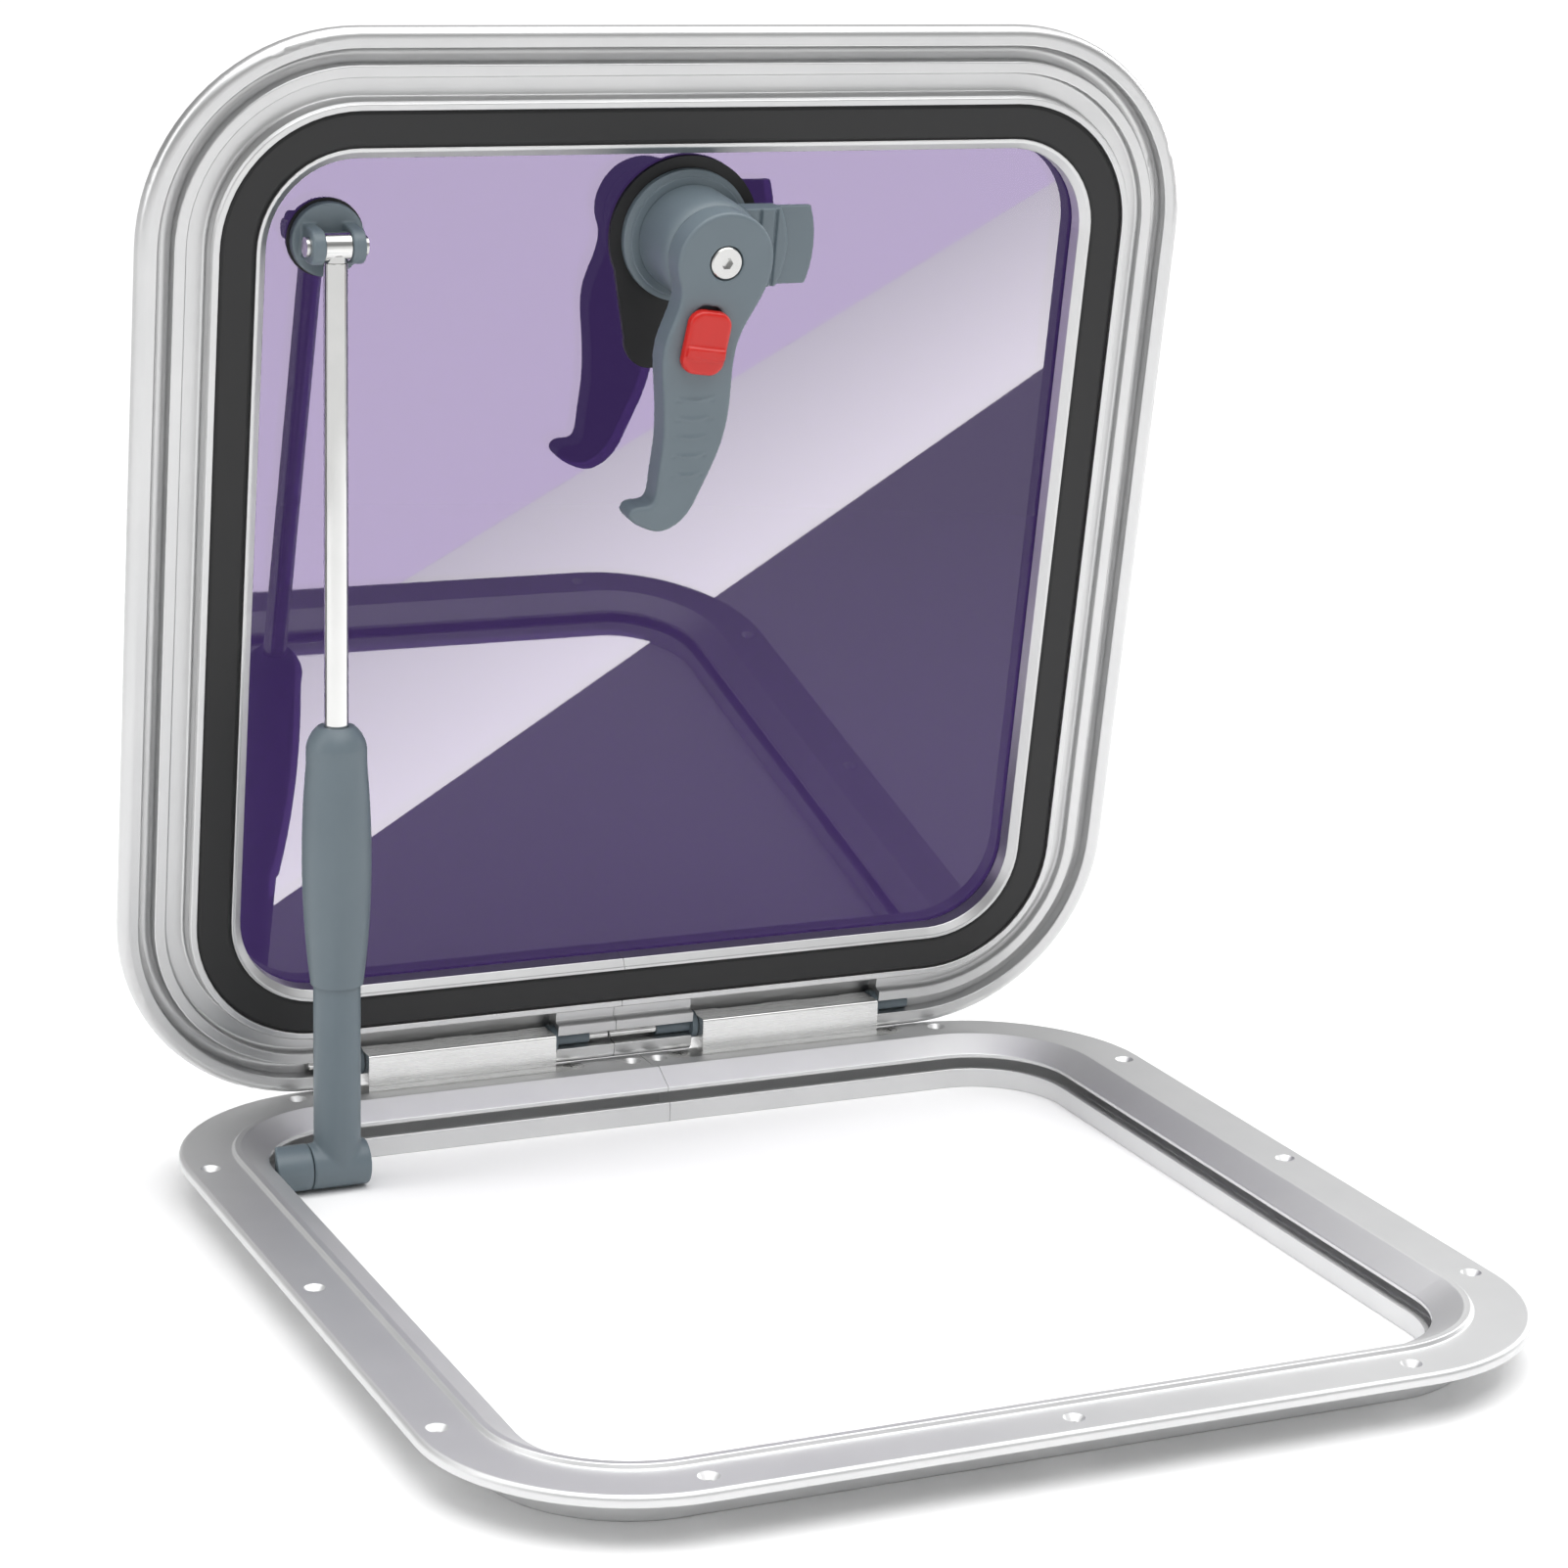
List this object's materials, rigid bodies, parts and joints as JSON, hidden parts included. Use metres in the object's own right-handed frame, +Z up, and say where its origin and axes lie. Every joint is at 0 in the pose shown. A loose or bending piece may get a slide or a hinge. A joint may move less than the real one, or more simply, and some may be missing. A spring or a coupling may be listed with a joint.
{
  "type": "deck hatch",
  "caption": "Square flush-flange deck hatch with rounded corners, tinted glass lid, side-hung hinge blocks, telescopic lid strut and a turning latch handle",
  "frame": {"origin": "centre of the deck opening, in the plane of the deck surface under the flange", "axes": "+Z up out of the deck, +Y towards the hinge, +X to the right seen from the front; the lid stands open at 81.5 degrees"},
  "size_m": [0.52, 0.5074, 0.5371],
  "materials": {
    "frame_metal": "satin silver anodised",
    "block_metal": "brushed silver anodised",
    "stainless": "polished",
    "grey_plastic": "moulded blue grey",
    "red_plastic": "glossy red",
    "black_rubber": "matt black",
    "tinted_glass": "polished, tinted"
  },
  "bodies": {
    "base": {"base_frame": "frame_metal", "left_hinge_block": "block_metal", "right_hinge_block": "block_metal", "hinge_block_screws": "stainless", "strut_stub": "grey_plastic", "strut_axle": "stainless", "stub_screw": "stainless"},
    "lid": {"lid_frame": "frame_metal", "lid_gasket": "black_rubber", "glass_pane": "tinted_glass", "glass_sealant": "black_rubber", "left_hinge_pin": "stainless", "right_hinge_pin": "stainless", "hinge_bushes": "grey_plastic", "clevis_seal": "black_rubber", "strut_clevis": "grey_plastic", "clevis_screws": "stainless", "clevis_bolt": "stainless", "clevis_cap": "grey_plastic", "handle_seal": "black_rubber", "handle_ring": "grey_plastic", "outer_cap": "grey_plastic"},
    "handle": {"handle_barrel": "grey_plastic", "latch_tongue": "grey_plastic", "handle_lever": "grey_plastic", "handle_spindle": "stainless", "lever_screw": "stainless"},
    "lock": {"lock_button": "red_plastic"},
    "strut_tube": {"strut_tube": "grey_plastic", "strut_collet": "grey_plastic"},
    "strut_grip": {"strut_grip": "grey_plastic", "grip_cap": "grey_plastic"},
    "strut_rod": {"strut_rod": "stainless", "rod_piston": "grey_plastic", "rod_eye": "stainless"}
  },
  "joints": [
    {"name": "lid_hinge", "type": "hinge", "parent": "base", "child": "lid", "pos_m": [0, 0.2475, 0.018], "axis": [-1, 0, 0], "range_deg": [-81.5, 0]},
    {"name": "handle_turn", "type": "hinge", "parent": "lid", "child": "handle", "pos_m": [0, 0.17545, 0.42229], "axis": [0, -0.989, -0.1478], "range_deg": [0, 90]},
    {"name": "lock_slide", "type": "slide", "parent": "handle", "child": "lock", "axis": [0.1392, -0.1464, 0.9794], "range_m": [0, 0.006]},
    {"name": "strut_pivot", "type": "hinge", "parent": "base", "child": "strut_tube", "pos_m": [-0.173, 0.172, -0.0055], "axis": [-1, 0, 0], "range_deg": [-88.59, 0.1]},
    {"name": "strut_slide", "type": "slide", "parent": "strut_tube", "child": "strut_rod", "axis": [0, 0.0004, 1], "range_m": [-0.09251, 0.0003]},
    {"name": "grip_twist", "type": "hinge", "parent": "strut_tube", "child": "strut_grip", "pos_m": [-0.173, 0.172, -0.0055], "axis": [0, 0.0004, 1], "range_deg": [0, 90]}
  ],
  "couplings": [
    {"joint": "strut_pivot", "follows": "lid_hinge", "ratio": 1.0858},
    {"joint": "strut_slide", "follows": "lid_hinge", "m_per_rad": 0.064822}
  ]
}
